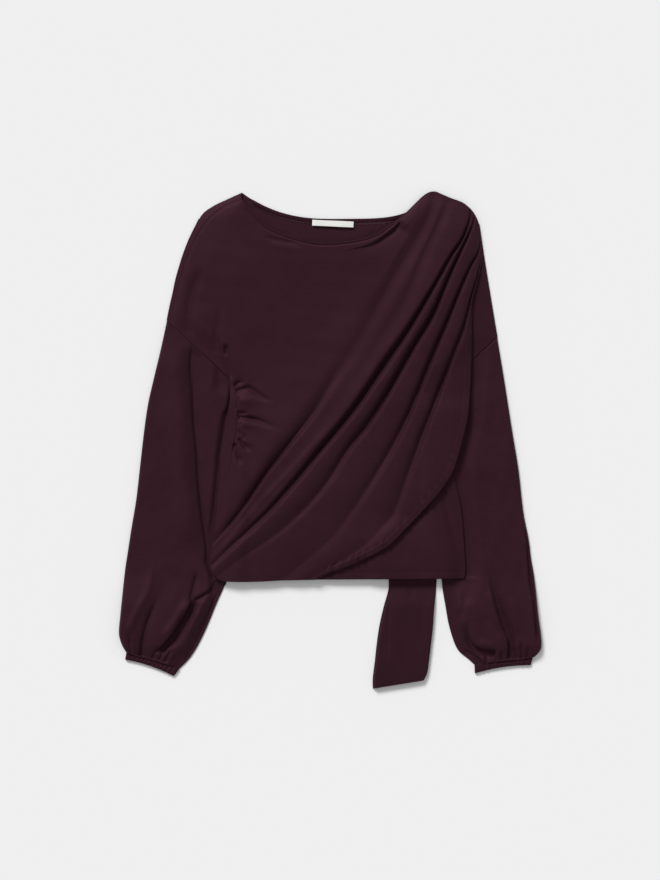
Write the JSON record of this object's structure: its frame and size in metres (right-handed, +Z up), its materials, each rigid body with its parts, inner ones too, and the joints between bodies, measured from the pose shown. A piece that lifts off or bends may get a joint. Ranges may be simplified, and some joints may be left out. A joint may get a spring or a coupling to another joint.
{
  "type": "draped long-sleeved jersey top laid flat",
  "caption": "Women's long-sleeved jersey top laid flat: boat neck, front drape pleated from one shoulder, balloon sleeves with gathered cuffs and a sash tail below the hem.",
  "frame": {"origin": "on the resting surface, below the middle of the laid-out top's bounding box", "axes": "+Z up from the surface, +Y from hem to neck, +X to the viewer's right with the front facing up"},
  "size_m": [0.612, 0.7202, 0.0162],
  "materials": {
    "jersey": "dark burgundy smooth fine jersey, matt with a faint sheen",
    "label": "blank white woven satin label"
  },
  "bodies": {
    "root": {"back_panel": "jersey", "front_panel": "jersey", "front_drape": "jersey", "neck_facing": "jersey", "neck_label": "label", "sleeve_left": "jersey", "sleeve_right": "jersey", "cuff_left": "jersey", "cuff_right": "jersey", "sash_tail": "jersey"}
  },
  "joints": []
}
